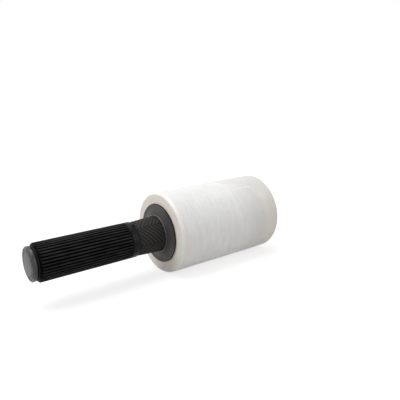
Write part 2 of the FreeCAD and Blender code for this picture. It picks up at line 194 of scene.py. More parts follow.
# Neck. Its wall widens evenly from the grip to the lip.
NECK_WALL_RADIUS = 15.75 * MM
NECK_FLARE = 1.2 * MM
NECK_WALL = 2.2 * MM
NECK_FLOOR = 2.6 * MM
NECK_STRIPS = 6
NECK_STRIP_TURN = 11
NECK_STRIP_GAP = 0.7 * MM
NECK_STRIP_SLICES = 12
NECK_RIB_WIDTH = 1.35 * MM
NECK_RIB_HEIGHT = 0.45 * MM
NECK_RIB_ROOT = 0.2 * MM
NECK_RIB_ROUND = 0.36 * MM
NECK_RIB_PITCH = 2.85 * MM
NECK_RIB_LEAN = 45
NECK_MARGIN = 0.8 * MM

# Grip.
GRIP_BORE = 10.06 * MM
GRIP_CORE_RADIUS = 13.56 * MM
GRIP_RELIEF = 0.6 * MM
GRIP_LAND = 14.0 * MM
COLLAR_WIDTH = 6.8 * MM
COLLAR_GROOVE_DEPTH = 0.9 * MM
SLOT_WIDTH = 3.4 * MM
SLOT_LENGTH = 2.3 * MM
SLOT_DEPTH = 2.2 * MM
SLOT_ANGLE = 27
SLOT_CUTTER_PAST = 2 * MM
RIB_COUNT = 38
RIB_RADIUS = 1.12 * MM
RIB_VALLEY = 15.95 * MM
RIB_END_BEVEL = 0.9 * MM
RIB_END_STATIONS = (0, 0.5, 0.85, 1)
RIB_ARC = 75
RIB_ARC_STEP = 15

# Cap, with a fine groove round its disc and a wider one outside its ring.
CAP_DISC_RADIUS = 10.2 * MM
CAP_GROOVE = 0.6 * MM
CAP_FACE_RADIUS = 12.4 * MM
CAP_BEVEL = 0.9 * MM
CAP_OUTER_GROOVE = 1.0 * MM
CAP_OUTER_DEPTH = 0.8 * MM
CAP_SKIRT = 2.3 * MM
CAP_RECESS_RADIUS = 13.5 * MM
CAP_PLUG_RADIUS = 7.55 * MM
CAP_PLUG_BORE = 5.75 * MM

# Moulded plastics: colour, the colour of its darker clouds, roughness and gloss.
PLASTICS = {
    # Painted highlight: the hub's lip is paler than the rest of the hub.
    "hub_lip_highlight": ((0.125, 0.118, 0.116), (0.095, 0.089, 0.088), 0.36, 0.35),
    "rim_shadow_brown": ((0.022, 0.012, 0.007), (0.013, 0.008, 0.005), 0.6, 0.1),
    "hard_black_plastic": ((0.007, 0.007, 0.007), (0.005, 0.005, 0.005), 0.34, 0.1),
    "black_plastic": ((0.005, 0.005, 0.005), (0.004, 0.004, 0.004), 0.5, 0.06),
    "cap_skirt": ((0.026, 0.027, 0.027), (0.019, 0.020, 0.020), 0.32, 0.4),
    "cap_face": ((0.128, 0.128, 0.131), (0.100, 0.100, 0.103), 0.45, 0.25),
    "cap_ring": ((0.066, 0.067, 0.068), (0.052, 0.053, 0.054), 0.4, 0.3),
}
PLASTIC_GRAINS = 2600
RUBBER_GRAINS = 3200

# Studio. A lamp has its place, its breadth and its power.
LAMPS = {
    "overhead": ((-0.2, 0.15, 1.15), 1.0, 11.6),
    "left_side": ((-0.95, 0.45, 0.7), 0.7, 3.2),
    "front": ((0.45, -1.1, 0.55), 0.9, 4.3),
}
WORLD_LIGHT = 0.38
FLOOR_SIZE = 4
FLOOR_BOUNCE = (0.56, 0.55, 0.53, 1)
FLOOR_SEEN = (0.36, 0.36, 0.36, 1)
WHITE = (1, 1, 1, 1)

# The photograph's camera: its place, and its heading, tilt and lean in degrees.
CAMERA_SPOT = (-0.230015, -0.367349, 0.165842)
CAMERA_HEADING = 37.557
CAMERA_TILT = 12.416
CAMERA_LEAN = 2.253
CAMERA_SENSOR = 36
CAMERA_LENS = 41.5135


# Making meshes

def turned(outline, rounds, steps=144, closed=True):
    """A shell turned about the axis from an outline of (along, radius); rounds gives radii by corner."""
    shape = bmesh.new()
    corners = [shape.verts.new((along, 0, radius)) for along, radius in outline]
    pairs = list(zip(corners, corners[1:]))
    if closed:
        pairs.append((corners[-1], corners[0]))
    for pair in pairs:
        shape.edges.new(pair)
    for radius in sorted(set(rounds.values())):
        chosen = [corners[number] for number, size in rounds.items() if size == radius]
        bmesh.ops.bevel(shape, geom=chosen, offset=radius, segments=4, profile=0.5,
                        affect="VERTICES", material=-1)
    spin_outline(shape, steps)
    return shape


def spin_outline(shape, steps):
    bmesh.ops.spin(shape, geom=list(shape.verts) + list(shape.edges), cent=(0, 0, 0), axis=(1, 0, 0),
                   angle=FULL_TURN, steps=steps, use_merge=True)
    bmesh.ops.remove_doubles(shape, verts=shape.verts, dist=MERGE)
    bmesh.ops.recalc_face_normals(shape, faces=shape.faces)


def new_object(name, shape):
    """Turns a finished shape into an object of the scene."""
    mesh = bpy.data.meshes.new(name)
    shape.to_mesh(mesh)
    shape.free()
    item = bpy.data.objects.new(name, mesh)
    bpy.context.scene.collection.objects.link(item)
    return item


def smooth(mesh, sharp):
    """Smooth shading but for edges sharper than the given degrees."""
    mesh.shade_smooth()
    mesh.set_sharp_from_angle(angle=math.radians(sharp))


def add_piece(name, shape, body, nodes, materials, sharp=35):
    """Lifts the shape to the roll's axis and makes it a piece that replaces CAD nodes."""
    bmesh.ops.translate(shape, verts=shape.verts, vec=(0, 0, AXIS_HEIGHT))
    piece = new_object(name, shape)
    smooth(piece.data, sharp)
    for material in materials:
        piece.data.materials.append(material)
    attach(piece, body)
    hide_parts(*nodes)
    return piece


def around(angle):
    """The direction across the axis at an angle in degrees from the top, towards -Y."""
    turn = math.radians(angle)
    return Vector((0, -math.sin(turn), math.cos(turn)))


def angle_of(point):
    return math.degrees(math.atan2(-point.y, point.z))


def clamp(value):
    return min(max(value, 0), 1)


# Making materials

def add_node(tree, kind, settings=None, **inputs):
    """Adds a node. Inputs are named with underscores for spaces, and take sockets or values."""
    node = tree.nodes.new(kind)
    for name, value in (settings or {}).items():
        setattr(node, name, value)
    for name, value in inputs.items():
        socket = node.inputs[int(name[1:]) if name[1:].isdigit() else name.replace("_", " ")]
        if isinstance(value, bpy.types.NodeSocket):
            tree.links.new(value, socket)
        else:
            socket.default_value = value
    return node


def new_finish(name, **sockets):
    """A material with a Principled shader whose named sockets are set."""
    material = bpy.data.materials.new(name)
    material.use_nodes = True
    shader = material.node_tree.nodes["Principled BSDF"]
    for socket, value in sockets.items():
        shader.inputs[socket.replace("_", " ")].default_value = value
    return material, material.node_tree, shader


def place(tree, scale=(1, 1, 1)):
    """Object coordinates measured from the roll's axis, stretched by scale."""
    spot = add_node(tree, "ShaderNodeTexCoord").outputs["Object"]
    centred = add_node(tree, "ShaderNodeVectorMath", {"operation": "SUBTRACT"},
                       _0=spot, _1=(0, 0, AXIS_HEIGHT)).outputs[0]
    return add_node(tree, "ShaderNodeVectorMath", {"operation": "MULTIPLY"}, _0=centred, _1=scale).outputs[0]


def along_axis(tree):
    return add_node(tree, "ShaderNodeSeparateXYZ", Vector=place(tree)).outputs["X"]


def off_axis(tree):
    return add_node(tree, "ShaderNodeVectorMath", {"operation": "LENGTH"},
                    _0=place(tree, (0, 1, 1))).outputs["Value"]


def speckle(tree, scale, stretch=(1, 1, 1), detail=2, roughness=0.5):
    """Noise from 0 to 1, scale being its grains per metre."""
    return add_node(tree, "ShaderNodeTexNoise", Vector=place(tree, stretch), Scale=scale, Detail=detail,
                    Roughness=roughness).outputs["Fac"]


def math_node(tree, operation, *values):
    inputs = {f"_{number}": value for number, value in enumerate(values)}
    return add_node(tree, "ShaderNodeMath", {"operation": operation}, **inputs).outputs[0]


def weighted(tree, *parts):
    """The sum of values, each times its share."""
    total = 0
    for value, share in reversed(parts):
        total = math_node(tree, "MULTIPLY_ADD", value, share, total)
    return total


def rescale(tree, value, low, high, new_low, new_high):
    return add_node(tree, "ShaderNodeMapRange", {"clamp": True}, Value=value, From_Min=low, From_Max=high,
                    To_Min=new_low, To_Max=new_high).outputs["Result"]


def blend_colours(tree, share, first, second):
    """A colour between two, which can be sockets or plain colours."""
    node = tree.nodes.new("ShaderNodeMix")
    node.data_type = "RGBA"
    tree.links.new(share, node.inputs["Factor"])
    colours = [socket for socket in node.inputs if socket.type == "RGBA"]
    for socket, value in zip(colours, (first, second)):
        if isinstance(value, bpy.types.NodeSocket):
            tree.links.new(value, socket)
        else:
            socket.default_value = (*value, 1)
    return next(socket for socket in node.outputs if socket.type == "RGBA")


def raise_bumps(tree, shader, height, depth, strength=1.0):
    bump = add_node(tree, "ShaderNodeBump", Height=height, Distance=depth, Strength=strength)
    tree.links.new(bump.outputs["Normal"], shader.inputs["Normal"])


def seen_directly(tree):
    """One for rays from the camera or by way of a mirror or glass, and zero for light from all round."""
    light_path = add_node(tree, "ShaderNodeLightPath")
    bounced = math_node(tree, "MAXIMUM", light_path.outputs["Is Glossy Ray"],
                        light_path.outputs["Is Transmission Ray"])
    return math_node(tree, "MAXIMUM", light_path.outputs["Is Camera Ray"], bounced)


# Film's materials

def ridge_valley_shade(tree, along, patches):
    """Painted shade between the ridges, near the film's left end and in patches."""
    turns = math_node(tree, "DIVIDE", math_node(tree, "SUBTRACT", along, FILM_LEFT), RIDGE_PITCH / FULL_TURN)
    valleys = rescale(tree, math_node(tree, "SINE", turns), -1.0, 0.4, 0.5, 0.0)
    near_left = rescale(tree, along, FILM_LEFT, FILM_LEFT + RIDGE_SHADE_LENGTH, 1.0, 0.0)
    ridged = math_node(tree, "MULTIPLY", near_left, valleys)
    return math_node(tree, "MULTIPLY", ridged, rescale(tree, patches, 0.35, 0.6, 0.2, 1.0))


def film_side_finish(name, clear, warm, streak_depth):
    """Wound film seen from the side: streaks of three widths round the roll, and broad cloudy patches."""
    material, tree, shader = new_finish(
        name, Subsurface_Weight=0.2, Subsurface_Radius=SIDE_SCATTER, Subsurface_Scale=1.0,
        Specular_IOR_Level=0.4)
    fine = speckle(tree, 1.0, FINE_STREAKS)
    medium = speckle(tree, 1.0, MEDIUM_STREAKS)
    broad = speckle(tree, 1.0, BROAD_STREAKS)
    patches = speckle(tree, 60)
    streaks = weighted(tree, (fine, 0.30), (medium, 0.55), (broad, 0.15))
    cloudy = weighted(tree, (patches, 0.25), (streaks, 0.75))
    along = along_axis(tree)
    colour = blend_colours(tree, rescale(tree, cloudy, 0.40, 0.60, 0.0, 1.0), warm, clear)
    # Painted shade in the valleys between the ridges.
    colour = blend_colours(tree, ridge_valley_shade(tree, along, patches), colour, FILM_SHADE)
    # Painted shade: the film turns darker and warmer towards its right end.
    far_end_shade = rescale(tree, along, FILM_RIGHT - FAR_END_SHADE_LENGTH, FILM_RIGHT, 0.0, 0.62)
    colour = blend_colours(tree, far_end_shade, colour, FILM_FAR_END_SHADE)
    # Painted shade over the rounded left edge, holding back its highlight.
    left_round_shade = rescale(tree, along, FILM_LEFT, FILM_LEFT + 2 * FILM_LEFT_ROUND, 0.55, 0.0)
    colour = blend_colours(tree, left_round_shade, colour, FILM_SHADE)
    # Painted highlight along the film's rounded right edge.
    edge_highlight = rescale(tree, along, FILM_RIGHT - EDGE_HIGHLIGHT_WIDTH, FILM_RIGHT, 0.0, 0.7)
    colour = blend_colours(tree, edge_highlight, colour, FILM_EDGE_HIGHLIGHT)
    tree.links.new(colour, shader.inputs["Base Color"])
    tree.links.new(rescale(tree, streaks, 0.35, 0.65, 0.44, 0.24), shader.inputs["Roughness"])
    raise_bumps(tree, shader, streaks, streak_depth)
    return material, tree, shader, colour


def under_turn_finish():
    """The film under the last turn: much the same, but with painted shade high up, where the last turn lies
    over it.
    """
    material, tree, shader, colour = film_side_finish(
        "film_under", UNDER_CLEAR, UNDER_WARM, UNDER_STREAK_DEPTH)
    height = add_node(tree, "ShaderNodeSeparateXYZ", Vector=place(tree)).outputs["Z"]
    # Painted shade high up on the film under the last turn.
    under_shade = rescale(tree, height, UNDER_SHADE_FROM, UNDER_SHADE_TO, 0.0, 0.6)
    tree.links.new(blend_colours(tree, under_shade, colour, FILM_UNDER_SHADE), shader.inputs["Base Color"])
    return material


def last_turn_finish():
    """The outer sheet: paler than the film under it, with a painted highlight as a broken line along its
    tail.
    """
    material, tree, shader, colour = film_side_finish(
        "film_outer", SHEET_CLEAR, SHEET_WARM, SHEET_STREAK_DEPTH)
    sheet = add_node(tree, "ShaderNodeUVMap", {"uv_map": "sheet"}).outputs["UV"]
    parts = add_node(tree, "ShaderNodeSeparateXYZ", Vector=sheet)
    # Painted highlight: a bright broken line along the tail, stronger to the right.
    near_tail = rescale(tree, parts.outputs["Y"], 0.0, 0.007, 1.2, 0.0)
    to_the_right = rescale(tree, parts.outputs["X"], 0.1, 0.7, 0.15, 0.9)
    broken = rescale(tree, speckle(tree, 260, detail=1), 0.35, 0.55, 0.2, 1.0)
    line = math_node(tree, "MULTIPLY", near_tail, math_node(tree, "MULTIPLY", to_the_right, broken))
    tree.links.new(blend_colours(tree, line, colour, TAIL_HIGHLIGHT), shader.inputs["Base Color"])
    return material


def film_end_finish():
    """The ends of the turns: fine rings, warm near the core where the film is deep."""
    material, tree, shader = new_finish(
        "film_ends", Subsurface_Weight=0.3, Subsurface_Radius=END_SCATTER, Subsurface_Scale=1.0,
        Roughness=0.45)
    radius = off_axis(tree)
    outwards = rescale(tree, radius, TURNS_WARM_RADIUS, TURNS_PALE_RADIUS, 0.0, 1.0)
    ground = blend_colours(tree, outwards, TURNS_NEAR_CORE, TURNS_NEAR_SIDE)
    rings = add_node(tree, "ShaderNodeTexNoise", {"noise_dimensions": "1D"},
                     W=radius, Scale=TURNS_GRAINS, Detail=3, Roughness=0.6).outputs["Fac"]
    mottle = speckle(tree, 160)
    share = rescale(tree, weighted(tree, (mottle, 0.35), (rings, 0.65)), 0.35, 0.65, 0.0, 0.28)
    tree.links.new(blend_colours(tree, share, ground, TURNS_LINE), shader.inputs["Base Color"])
    raise_bumps(tree, shader, rings, 0.08 * MM)
    return material


# Other materials

def cardboard_finish():
    """Brown spiral-wound board: fibres, plies at the ends and the slanted joint of the inner ply."""
    material, tree, shader = new_finish("cardboard", Roughness=0.85, Specular_IOR_Level=0.25)
    fibres = speckle(tree, 1.0, BOARD_FIBRES, 4, 0.65)
    patches = speckle(tree, 90)
    share = rescale(tree, weighted(tree, (fibres, 0.6), (patches, 0.4)), 0.3, 0.7, 0, 1)
    board = blend_colours(tree, share, (0.27, 0.17, 0.10), (0.46, 0.32, 0.20))
    parts = add_node(tree, "ShaderNodeSeparateXYZ", Vector=place(tree))
    angle = math_node(tree, "ARCTAN2", parts.outputs["Y"], parts.outputs["Z"])
    turn = math_node(tree, "DIVIDE", angle, FULL_TURN)
    along = math_node(tree, "DIVIDE", parts.outputs["X"], SPIRAL_LENGTH)
    joint = math_node(tree, "FRACT", math_node(tree, "ADD", turn, along))
    off_joint = math_node(tree, "ABSOLUTE", math_node(tree, "SUBTRACT", joint, 0.5))
    near_joint = rescale(tree, off_joint, 0.0, 0.012, 0.75, 0)
    seamed = blend_colours(tree, near_joint, board, (0.13, 0.08, 0.05))
    ply = math_node(tree, "PINGPONG", off_axis(tree), PLY_SPACING)
    ply_line = rescale(tree, ply, 0.0, PLY_LINE, 0.35, 0.0)
    tree.links.new(blend_colours(tree, ply_line, seamed, (0.16, 0.10, 0.06)), shader.inputs["Base Color"])
    raise_bumps(tree, shader, fibres, 0.05 * MM)
    return material


def raise_grain(tree, shader, depth, strength):
    """The fine even grain of moulded plastic."""
    raise_bumps(tree, shader, speckle(tree, PLASTIC_GRAINS), depth, strength)


def moulded_finish(name, colour, dark, roughness, gloss):
    """Moulded plastic, with a faint cloudiness in its colour and gloss."""
    material, tree, shader = new_finish(name, Specular_IOR_Level=gloss)
    clouds = speckle(tree, 130, detail=3)
    share = rescale(tree, clouds, 0.3, 0.7, 0, 1)
    tree.links.new(blend_colours(tree, share, dark, colour), shader.inputs["Base Color"])
    uneven = rescale(tree, clouds, 0.3, 0.7, roughness + 0.06, roughness - 0.06)
    tree.links.new(uneven, shader.inputs["Roughness"])
    raise_grain(tree, shader, 0.01 * MM, 0.6)
    return material


def hub_finish():
    """Dark grey satin plastic, with painted shade in the hollow beside the lip."""
    material, tree, shader = new_finish("hub_plastic", Specular_IOR_Level=0.22)
    # Painted shade: darker near the lip, paler further out.
    outwards = rescale(tree, off_axis(tree), LIP_RADIUS, LIP_RADIUS + LIP_SHADOW, 0.0, 1.0)
    clouds = speckle(tree, 130, detail=3)
    share = math_node(tree, "MULTIPLY", outwards, rescale(tree, clouds, 0.3, 0.7, 0.8, 1.0))
    colour = blend_colours(tree, share, (0.028, 0.025, 0.025), (0.070, 0.066, 0.066))
    tree.links.new(colour, shader.inputs["Base Color"])
    tree.links.new(rescale(tree, clouds, 0.3, 0.7, 0.48, 0.38), shader.inputs["Roughness"])
    raise_grain(tree, shader, 0.01 * MM, 0.6)
    return material


def neck_finish():
    """Dark satin plastic with painted shade in its valleys and painted highlights on its rib crests."""
    material, tree, shader = new_finish("neck_plastic", Specular_IOR_Level=0.1, Roughness=0.6)
    wall = rescale(tree, along_axis(tree), NECK_LEFT, LIP_FRONT,
                   NECK_WALL_RADIUS, NECK_WALL_RADIUS + NECK_FLARE)
    height = math_node(tree, "SUBTRACT", off_axis(tree), wall)
    crest = rescale(tree, height, 0.1 * MM, NECK_RIB_HEIGHT - 0.05 * MM, 0.0, 1.0)
    clouds = speckle(tree, 200, detail=3, roughness=0.55)
    # Painted highlight on the rib crests and painted shade in the valleys.
    painted_crest_light = math_node(tree, "MULTIPLY", crest, rescale(tree, clouds, 0.3, 0.7, 0.75, 1.0))
    colour = blend_colours(tree, painted_crest_light, (0.018, 0.017, 0.0165), (0.040, 0.0385, 0.037))
    tree.links.new(colour, shader.inputs["Base Color"])
    raise_grain(tree, shader, 0.008 * MM, 0.5)
    return material


def rubber_finish():
    """Matt black sleeve: fine grain, with painted highlights on its crests and left end and painted shade in
    its valleys.
    """
    material, tree, shader = new_finish("grip_rubber")
    end_face = rescale(tree, along_axis(tree), GRIP_LEFT + 0.2 * MM, GRIP_LEFT + 0.6 * MM, 0.6, 0.0)
    high = rescale(tree, off_axis(tree), RIB_VALLEY + 0.2 * MM, GRIP_RADIUS, 0.0, 1.0)
    crest = math_node(tree, "MAXIMUM", end_face, high)
    clouds = speckle(tree, 220, (0.4, 1, 1), 3, 0.6)
    # Painted highlight on the crests and the left end, painted shade in the valleys.
    painted_crest_light = math_node(tree, "MULTIPLY", crest, rescale(tree, clouds, 0.3, 0.7, 0.6, 1.0))
    colour = blend_colours(tree, painted_crest_light, (0.0006, 0.0006, 0.0006), (0.010, 0.010, 0.010))
    tree.links.new(colour, shader.inputs["Base Color"])
    tree.links.new(rescale(tree, painted_crest_light, 0.0, 1.0, 0.7, 0.42), shader.inputs["Roughness"])
    tree.links.new(rescale(tree, painted_crest_light, 0.3, 1.0, 0.0, 0.16), shader.inputs["Specular IOR Level"])
    raise_bumps(tree, shader, speckle(tree, RUBBER_GRAINS), 0.02 * MM, 0.7)
    return material


# Film

def last_turn_edge(travelled):
    """How far from the film's left end its last turn reaches, at an angle travelled from the tail."""
    angles = [angle for angle, _ in LAST_TURN_EDGE]
    number = min(max(bisect.bisect_right(angles, travelled), 1), len(angles) - 1)
    (start, low), (end, high) = LAST_TURN_EDGE[number - 1], LAST_TURN_EDGE[number]
    share = clamp((travelled - start) / (end - start))
    eased = share * share * (3 - 2 * share)
    return low + (high - low) * eased


def wound_radius(travelled):
    """The outline of the last turn: it draws in by one step, and its tail sinks on to the turn under it."""
    share = max(travelled - 180, 0) / 180
    sunk = max(1 - travelled / TAIL_SINK_ANGLE, 0)
    return FILM_RADIUS - FILM_STEP * share - (FILM_STEP - TAIL_LIP) * sunk


def facing(angle, middle):
    """One at the middle angle, falling to zero a quarter turn from it."""
    return max(math.cos(math.radians(angle) - math.radians(middle)), 0)


def ridges(along, angle):
    """The height of the ridges that the film's edges and folds leave round the roll."""
    turn = math.radians(angle)
    side = Vector((0, math.sin(turn), math.cos(turn)))
    dots = 0.7 + 1.1 * noise.noise(side * 15 + Vector((along / RIDGE_PITCH, 0, 0)))
    reach = RIDGE_REACH + RIDGE_REACH_MORE * facing(angle, RIDGE_REACH_ANGLE) ** 3
    regular = math.sin(FULL_TURN * along / RIDGE_PITCH) * RIDGE_HEIGHT * math.exp(-along / reach) * dots
    folds = noise.noise(side * 0.8 + Vector((along / FOLD_LENGTH, 0, 0))) * FOLD_HEIGHT
    waves = noise.noise(side * 1.5 + Vector((along / WAVE_LENGTH, 0, 7))) * WAVE_HEIGHT
    left_part = 1 - clamp((along - THIN_END) / THIN_FADE)
    thinner = facing(angle, THIN_ANGLE) * left_part * THIN_DEPTH
    return regular + folds + waves - FILM_DROP - thinner


def settle(radius, angle):
    """A point of the film at an angle in degrees, lifted to the flat spot where the roll rests."""
    point = around(angle) * radius
    point.z = max(point.z, -AXIS_HEIGHT)
    return point


def film_section():
    """The film's section: rounded outer corners, and many points up its ends and along its side."""
    shape = bmesh.new()
    outline = [
        (FILM_LEFT, CORE_RADIUS),
        (FILM_LEFT, FILM_RADIUS),
        (FILM_RIGHT, FILM_RADIUS),
        (FILM_RIGHT, CORE_RADIUS),
    ]
    corners = [shape.verts.new((along, 0, radius)) for along, radius in outline]
    for pair in zip(corners, corners[1:] + corners[:1]):
        shape.edges.new(pair)
    for corner, rounding in ((corners[1], FILM_LEFT_ROUND), (corners[2], FILM_RIGHT_ROUND)):
        bmesh.ops.bevel(shape, geom=[corner], offset=rounding, segments=6, profile=0.5,
                        affect="VERTICES", material=-1)
    flat_ends = [edge for edge in shape.edges if abs(edge.verts[0].co.x - edge.verts[1].co.x) < 1e-7]
    bmesh.ops.subdivide_edges(shape, edges=flat_ends, cuts=FILM_END_POINTS)
    side = max(shape.edges, key=lambda edge: edge.calc_length() * (edge.verts[0].co.z + edge.verts[1].co.z))
    bmesh.ops.subdivide_edges(shape, edges=[side], cuts=FILM_SIDE_POINTS)
    return shape


def lay_film(vert):
    """Moves a point of the plain winding: in by the step, out by the ridges, and unevenly at the ends."""
    radius = vert.co.yz.length
    angle = angle_of(vert.co)
    inset = FILM_RADIUS - wound_radius((TAIL_ANGLE - angle) % 360) + FILM_SHEET
    depth = (radius - CORE_RADIUS) / (FILM_RADIUS - CORE_RADIUS)
    inwards = 1 if vert.co.x < (FILM_LEFT + FILM_RIGHT) / 2 else -1
    rounding = FILM_LEFT_ROUND if inwards > 0 else FILM_RIGHT_ROUND
    side_share = clamp((radius - FILM_RADIUS + rounding) / rounding)
    lift = ridges(vert.co.x - FILM_LEFT, angle) * side_share
    turns = noise.noise(Vector((radius / TURN_GRAIN, 0, inwards * 5.0)))
    vert.co.x += inwards * max(turns + 0.3, 0) * TURN_UNEVENNESS * (1 - side_share)
    point = settle(radius - inset * depth + lift, angle)
    vert.co.y, vert.co.z = point.y, point.z


def make_film_winding(materials):
    """The wound film under its last turn: its side, its ends, and the rounded left edge like the sheet."""
    shape = film_section()
    spin_outline(shape, FILM_STEPS)
    for face in shape.faces:
        middle = face.calc_center_median()
        if abs(face.normal.x) > 0.5 and middle.yz.length > CORE_RADIUS + MM / 2:
            face.material_index = 1
        elif middle.x < FILM_LEFT + FILM_LEFT_ROUND * 2:
            face.material_index = 2
    for vert in shape.verts:
        if vert.co.yz.length >= CORE_RADIUS + TOLERANCE:
            lay_film(vert)
    add_piece("film_winding", shape, "roll", ["film_roll"], materials)


def make_film_last_turn(material):
    """The film's last turn, a thin sheet whose right edge was pulled aslant near its tail."""
    shape = bmesh.new()
    shape.loops.layers.uv.new("sheet")
    bmesh.ops.create_grid(shape, x_segments=SHEET_POINTS_ALONG, y_segments=SHEET_POINTS_ROUND, size=0.5,
                          calc_uvs=True)
    for vert in shape.verts:
        across = vert.co.x + 0.5
        travelled = (vert.co.y + 0.5) * (360 + TAIL_OVERLAP_ANGLE)
        sheet_right = FILM_LEFT + last_turn_edge(travelled)
        along = SHEET_LEFT + (sheet_right - SHEET_LEFT) * across
        angle = TAIL_ANGLE - travelled
        radius = wound_radius(travelled) + ridges(along - FILM_LEFT, angle)
        radius -= max(1 - (along - SHEET_LEFT) / SHEET_TUCK, 0) * 2 * FILM_SHEET
        radius += max(1 - travelled / TAIL_BEAD_ANGLE, 0) * TAIL_BEAD * across
        point = settle(radius, angle)
        vert.co = (along, point.y, point.z)
    bmesh.ops.recalc_face_normals(shape, faces=shape.faces)
    outward = sum(face.normal.dot(Vector((0, *face.calc_center_median().yz))) for face in shape.faces)
    if outward < 0:
        bmesh.ops.reverse_faces(shape, faces=shape.faces)
    bmesh.ops.solidify(shape, geom=list(shape.faces), thickness=FILM_SHEET * 0.9)
    add_piece("film_last_turn", shape, "roll", ["film_roll"], [material])


# Core and hub

def make_cardboard_core(material):
    outline = [
        (CORE_LEFT, CORE_BORE),
        (CORE_LEFT, CORE_RADIUS),
        (CORE_RIGHT, CORE_RADIUS),
        (CORE_RIGHT, CORE_BORE),
    ]
    shape = turned(outline, {corner: CORE_BEVEL for corner in range(4)})
    add_piece("core_tube", shape, "roll", ["cardboard_core"], [material])


def hub_outline():
    """The hub's section from the plug's end round to the neck's seat, and the number of its lip's corner."""
    seat = NECK_WALL_RADIUS + NECK_FLARE + PRESS_FIT
    lip_foot = LIP_FRONT + LIP_STEP
    outline = [
        (PLUG_END, SPINDLE_HOLE),
        (PLUG_END, PLUG_RADIUS),
        (CORE_LEFT, PLUG_RADIUS),
        (CORE_LEFT, RIM_RADIUS),
        (RIM_FACE, RIM_RADIUS - RIM_TAPER),
    ]
    for share in DISH_STATIONS:
        sag = DISH_SAG * 4 * share * (1 - share)
        outline.append((RIM_FACE + (lip_foot - RIM_FACE) * share + sag,
                        RIM_RADIUS + (LIP_RADIUS - RIM_RADIUS) * share))
    lip = len(outline)
    outline += [
        (LIP_FRONT, LIP_RADIUS),
        (LIP_FRONT, LIP_RADIUS - LIP_WIDTH),
        (LIP_FRONT + LIP_HOLLOW, LIP_RADIUS - LIP_WIDTH),
        (LIP_FRONT + LIP_HOLLOW, seat),
        (NECK_RIGHT, seat),
        (NECK_RIGHT, SPINDLE_HOLE),
    ]
    return outline, lip


def add_fins(shape):
    """Adds the fins round the plug, each tapered where it enters the core."""
    size = Vector((FIN_RIGHT - FIN_LEFT, FIN_THICKNESS, FIN_TIP - FIN_ROOT))
    middle = ((FIN_LEFT + FIN_RIGHT) / 2, 0, (FIN_TIP + FIN_ROOT) / 2)
    for number in range(FIN_COUNT):
        fin = bmesh.ops.create_cube(shape, size=1)["verts"]
        bmesh.ops.scale(shape, vec=size, verts=fin)
        bmesh.ops.translate(shape, vec=middle, verts=fin)
        for vert in fin:
            if vert.co.x > FIN_RIGHT - MM and vert.co.z > FIN_TIP - MM:
                vert.co.z -= FIN_TAPER
        turn = Matrix.Rotation(FULL_TURN * number / FIN_COUNT, 3, "X")
        bmesh.ops.rotate(shape, cent=(0, 0, 0), matrix=turn, verts=fin)


def make_hub(materials):
    """Dished flange with a lip round the neck, and the finned plug that grips the core."""
    outline, lip = hub_outline()
    rounds = {1: 0.5 * MM, 3: 0.35 * MM, 4: 0.35 * MM, lip: 0.3 * MM, lip + 1: 0.25 * MM}
    shape = turned(outline, rounds, HUB_STEPS)
    for face in shape.faces:
        middle = face.calc_center_median()
        if middle.yz.length > RIM_RADIUS - RIM_BAND:
            face.material_index = 1
        # The lip's front takes a paler grey as a painted highlight.
        elif middle.x < LIP_FRONT + LIP_STEP and middle.yz.length > LIP_RADIUS - LIP_WIDTH - TOLERANCE:
            face.material_index = 2
    add_fins(shape)
    add_piece("hub", shape, "roll", ["hub_flange"], materials)


# Neck

def whole(shape):
    return list(shape.verts) + list(shape.edges) + list(shape.faces)


def add_rib(strip, length, lean, along):
    """Adds one rib with rounded top edges to a flat strip, turned by lean in degrees."""
    rib = bmesh.ops.create_cube(strip, size=1)["verts"]
    bmesh.ops.scale(strip, vec=(length, NECK_RIB_WIDTH, NECK_RIB_HEIGHT + NECK_RIB_ROOT), verts=rib)
    bmesh.ops.translate(strip, vec=(0, 0, (NECK_RIB_HEIGHT - NECK_RIB_ROOT) / 2), verts=rib)
    corners = set(rib)
    tops = [edge for edge in strip.edges
            if corners.issuperset(edge.verts)
            and all(vert.co.z > 0 for vert in edge.verts)
            and abs(edge.verts[0].co.x - edge.verts[1].co.x) > MM]
    made = bmesh.ops.bevel(strip, geom=tops, offset=NECK_RIB_ROUND, segments=3, profile=0.5,
                           affect="EDGES", material=-1)
    moved = list({vert for vert in rib if vert.is_valid} | set(made["verts"]))
    turn = Matrix.Rotation(math.radians(lean), 3, "Z")
    bmesh.ops.rotate(strip, cent=(0, 0, 0), matrix=turn, verts=moved)
    bmesh.ops.translate(strip, vec=(along, 0, 0), verts=moved)


def rib_strip(side):
    """One strip of slanted ribs, laid flat: X along the neck, Y round it, Z outwards from the wall."""
    strip = bmesh.new()
    left = NECK_LEFT + NECK_MARGIN
    right = LIP_FRONT - NECK_MARGIN
    breadth = FULL_TURN * NECK_WALL_RADIUS / NECK_STRIPS - NECK_STRIP_GAP
    step = NECK_RIB_PITCH / math.sin(math.radians(NECK_RIB_LEAN))
    count = int((right - left + breadth) / step / 2) + 1
    for number in range(-count, count + 1):
        add_rib(strip, breadth * 3, NECK_RIB_LEAN * side, (left + right) / 2 + number * step)
    limits = [
        ((left, 0, 0), (-1, 0, 0)),
        ((right, 0, 0), (1, 0, 0)),
        ((0, -breadth / 2, 0), (0, -1, 0)),
        ((0, breadth / 2, 0), (0, 1, 0)),
    ]
    for point, outward in limits:
        cut = bmesh.ops.bisect_plane(strip, geom=whole(strip), plane_co=point, plane_no=outward,
                                     clear_outer=True)
        rim = [item for item in cut["geom_cut"] if isinstance(item, bmesh.types.BMEdge)]
        bmesh.ops.holes_fill(strip, edges=rim)
    for number in range(1, NECK_STRIP_SLICES):
        level = -breadth / 2 + breadth * number / NECK_STRIP_SLICES
        bmesh.ops.bisect_plane(strip, geom=whole(strip), plane_co=(0, level, 0), plane_no=(0, 1, 0))
    return strip


